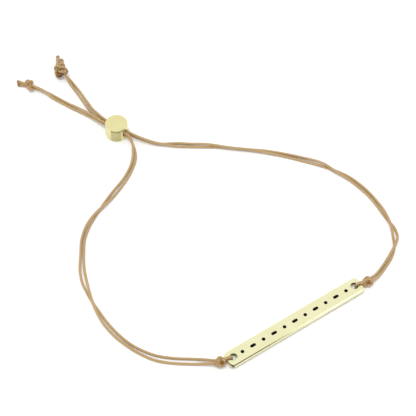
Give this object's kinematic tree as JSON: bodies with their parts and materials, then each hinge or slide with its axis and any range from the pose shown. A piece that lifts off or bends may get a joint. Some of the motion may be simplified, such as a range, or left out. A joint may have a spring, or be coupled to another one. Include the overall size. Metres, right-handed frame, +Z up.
{
  "type": "cord bracelet",
  "caption": "Adjustable bracelet of doubled cord with a slim engraved metal bar, a sliding metal bead and knotted cord ends, lying open on a flat surface.",
  "frame": {"origin": "middle of the loop on the surface that the bracelet lies on, where the wrist goes through", "axes": "+X along the bar, left to right as it is read; +Y from the bar towards the bead and the cord ends; +Z up, away from the surface, the way the bar's marked face looks"},
  "size_m": [0.0786, 0.1093, 0.0041],
  "materials": {
    "gold": "polished pale champagne gold plating",
    "enamel": "black enamel fill",
    "cord": "twisted tan cord with a slight sheen"
  },
  "bodies": {
    "root": {"bar": "gold", "bar_marks": "enamel", "slider_bead": "gold", "right_strand_a": "cord", "right_strand_b": "cord", "left_strand_a": "cord", "left_strand_b": "cord", "right_bar_knot": "cord", "left_bar_knot": "cord", "right_end_knot": "cord", "left_end_knot": "cord"}
  },
  "joints": []
}
